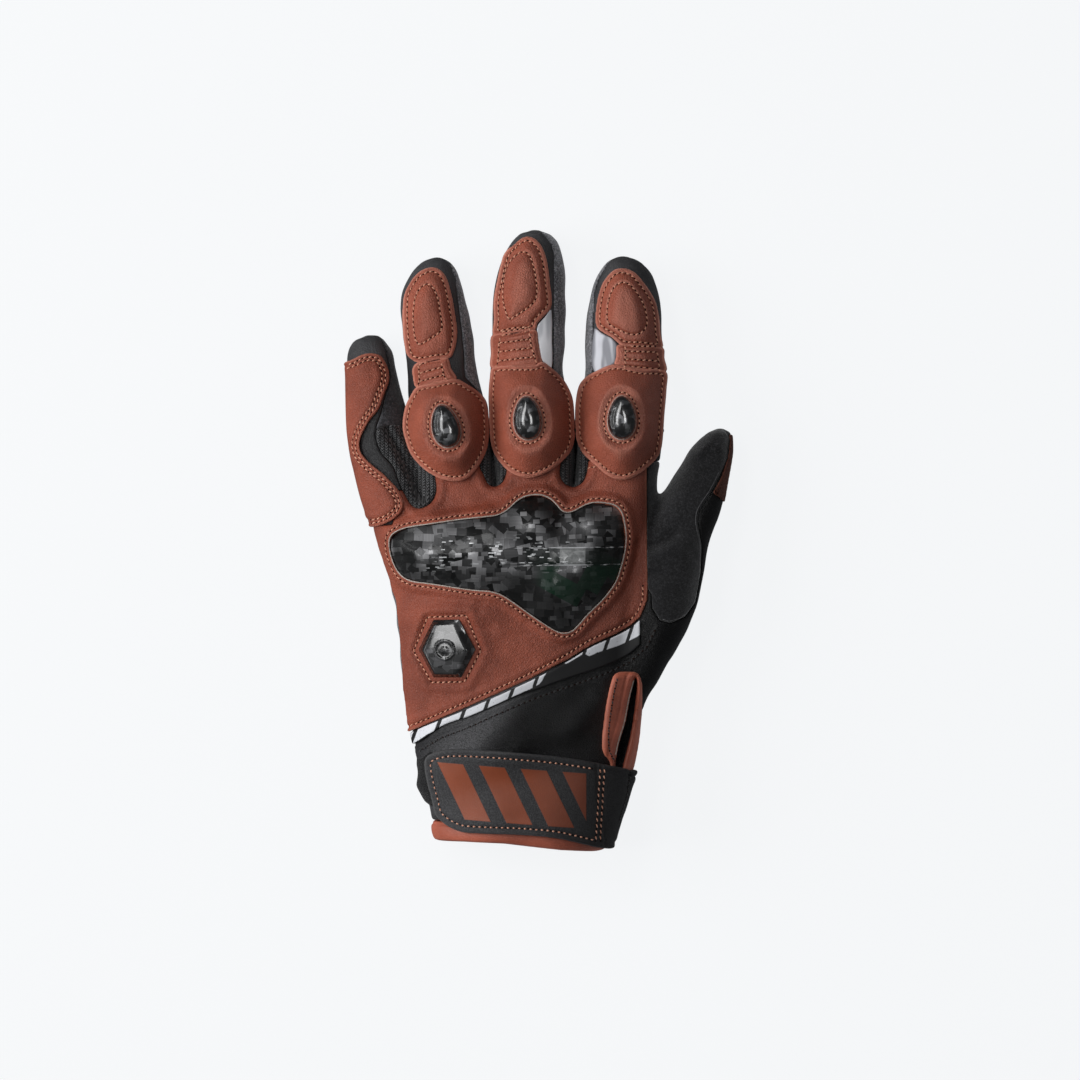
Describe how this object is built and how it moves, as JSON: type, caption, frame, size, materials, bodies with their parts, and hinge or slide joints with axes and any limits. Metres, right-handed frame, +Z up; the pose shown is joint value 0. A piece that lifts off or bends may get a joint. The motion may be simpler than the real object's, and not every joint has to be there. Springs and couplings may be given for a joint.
{
  "type": "motorcycle glove",
  "caption": "Left-hand short-cuff motorcycle glove in brown and black leather with padded knuckles, a hard knuckle guard, suede palm and a wrist strap, lying palm down.",
  "frame": {"origin": "on the surface it lies on, under the middle of the glove's bounding box", "axes": "+Y from the wrist to the fingertips, +X from the little finger to the thumb, +Z up from the palm side to the back of the hand"},
  "size_m": [0.1528, 0.2419, 0.0431],
  "materials": {
    "brown_leather": "semi-aniline cowhide, soft satin grain",
    "brown_binding": "thin rolled leather binding",
    "black_leather": "fine-grained black leather, satin",
    "grey_suede": "napped synthetic suede, matt",
    "black_knit": "ribbed stretch knit",
    "strap_leather": "dark grey coated strap with printed panels",
    "loop_pile": "fuzzy loop pile",
    "reflective_band": "black band with reflective dashes",
    "silver_reflector": "silver reflective sheet",
    "carbon_guard": "forged carbon under clear gloss",
    "gloss_black": "moulded, polished"
  },
  "bodies": {
    "root": {"back_panel": "brown_leather", "pinky_panel": "brown_leather", "thumb_patch": "brown_leather", "ring_tip_pad": "brown_leather", "middle_tip_pad": "brown_leather", "index_tip_pad": "brown_leather", "ring_flex_strip": "brown_leather", "middle_flex_strip": "brown_leather", "index_flex_strip": "brown_leather", "ring_knuckle_pad": "brown_leather", "middle_knuckle_pad": "brown_leather", "index_knuckle_pad": "brown_leather", "hem_binding": "brown_binding", "slit_binding": "brown_binding", "pinky_back": "black_leather", "ring_back": "black_leather", "middle_back": "black_leather", "index_back": "black_leather", "cuff_panel": "black_leather", "palm_suede": "grey_suede", "pinky_suede": "grey_suede", "ring_suede": "grey_suede", "middle_suede": "grey_suede", "index_suede": "grey_suede", "thumb_suede": "grey_suede", "gusset_pinky_ring": "black_knit", "gusset_ring_middle": "black_knit", "gusset_middle_index": "black_knit", "wrist_strap": "strap_leather", "loop_patch": "loop_pile", "reflective_band": "reflective_band", "middle_reflector": "silver_reflector", "index_reflector": "silver_reflector", "knuckle_guard": "carbon_guard", "ring_knuckle_stud": "gloss_black", "middle_knuckle_stud": "gloss_black", "index_knuckle_stud": "gloss_black", "hexagon_cap": "gloss_black"}
  },
  "joints": []
}
